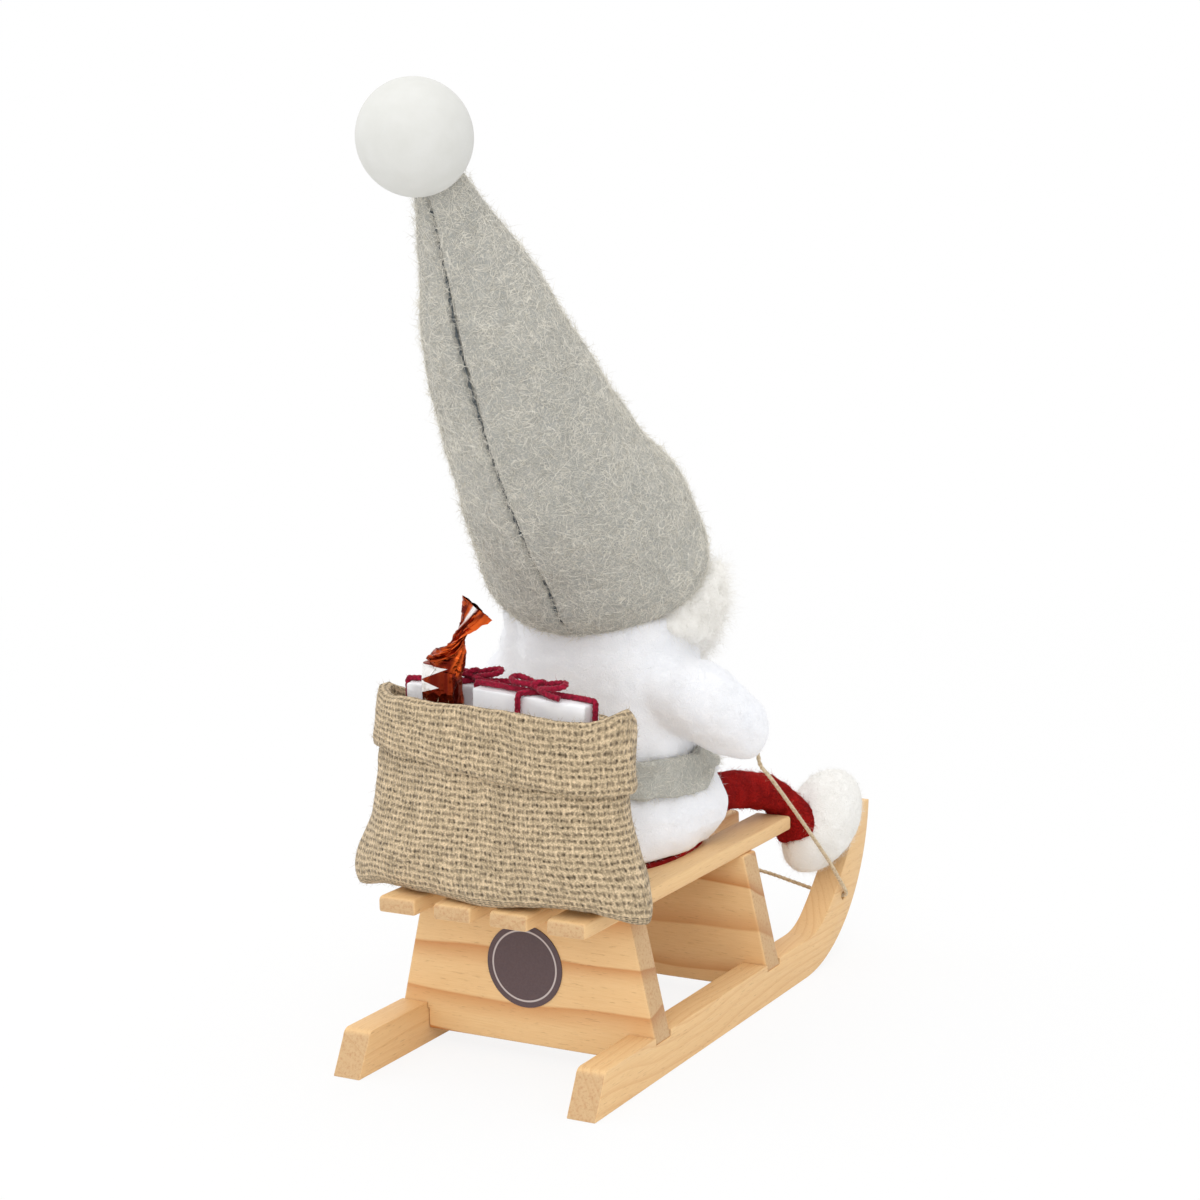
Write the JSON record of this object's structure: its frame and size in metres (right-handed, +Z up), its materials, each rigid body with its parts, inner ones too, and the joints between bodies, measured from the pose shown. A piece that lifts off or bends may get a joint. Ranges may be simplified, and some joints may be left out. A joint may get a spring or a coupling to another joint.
{
  "type": "gnome on sled ornament",
  "caption": "Felt gnome in a tall leaning hat, seated on a wooden sled with curved runners, with a burlap sack of loose parcels behind and a cord rein in its mittens.",
  "frame": {"origin": "on the ground under the middle of the bounding box", "axes": "+Z up, the gnome faces -Y, +X is its left hand's side"},
  "size_m": [0.0612, 0.1308, 0.1661],
  "materials": {
    "pine": "bare sanded pine with warm grain",
    "pale_wood": "smooth bare wood",
    "black_bead": "black gloss paint",
    "label": "plain satin paper label",
    "cord": "thin twisted natural cord",
    "red_felt": "dark red wool felt",
    "white_felt": "white wool felt",
    "grey_felt": "light grey mottled felt",
    "wool": "loose white wool",
    "white_ball": "smooth pressed white cotton",
    "wadding": "soft wadding",
    "burlap": "coarse open weave",
    "parcel_paper": "plain white paper",
    "yarn": "crimson wool yarn",
    "chocolate": "dark chocolate",
    "foil": "shiny copper film with plain pale bands"
  },
  "bodies": {
    "sled": {"left_runner": "pine", "right_runner": "pine", "rear_bridge": "pine", "front_bridge": "pine", "deck_slat_1": "pine", "deck_slat_2": "pine", "deck_slat_3": "pine", "deck_slat_4": "pine", "round_label": "label", "rein_cord": "cord", "seat_pad": "red_felt", "torso": "red_felt", "coat": "white_felt", "belt": "grey_felt", "left_sleeve": "white_felt", "right_sleeve": "white_felt", "neck_dowel": "pine", "head": "pale_wood", "nose_bead": "pale_wood", "eye_beads": "black_bead", "beard": "wool", "hat": "grey_felt", "hat_wadding": "wadding", "hat_ball": "white_ball", "sack": "burlap", "sack_wadding": "wadding"},
    "left_leg": {"left_leg": "red_felt", "left_boot": "white_felt"},
    "right_leg": {"right_leg": "red_felt", "right_boot": "white_felt"},
    "left_present": {"left_parcel": "parcel_paper", "left_yarn": "yarn"},
    "right_present": {"right_parcel": "parcel_paper", "right_yarn": "yarn"},
    "sweet": {"sweet_bar": "chocolate", "sweet_wrapper": "foil"}
  },
  "joints": [
    {"name": "left_hip", "type": "hinge", "parent": "sled", "child": "left_leg", "pos_m": [0, -0.0235, 0.0375], "axis": [-1, 0, 0], "range_deg": [0, 8]},
    {"name": "right_hip", "type": "hinge", "parent": "sled", "child": "right_leg", "pos_m": [0, -0.0235, 0.0375], "axis": [-1, 0, 0], "range_deg": [0, 8]},
    {"name": "left_present_lift", "type": "slide", "parent": "sled", "child": "left_present", "axis": [0, 0, 1], "range_m": [0, 0.014]},
    {"name": "right_present_lift", "type": "slide", "parent": "sled", "child": "right_present", "axis": [0, 0, 1], "range_m": [0, 0.02]},
    {"name": "sweet_lift", "type": "slide", "parent": "sled", "child": "sweet", "axis": [0, 0, 1], "range_m": [0, 0.014]}
  ]
}
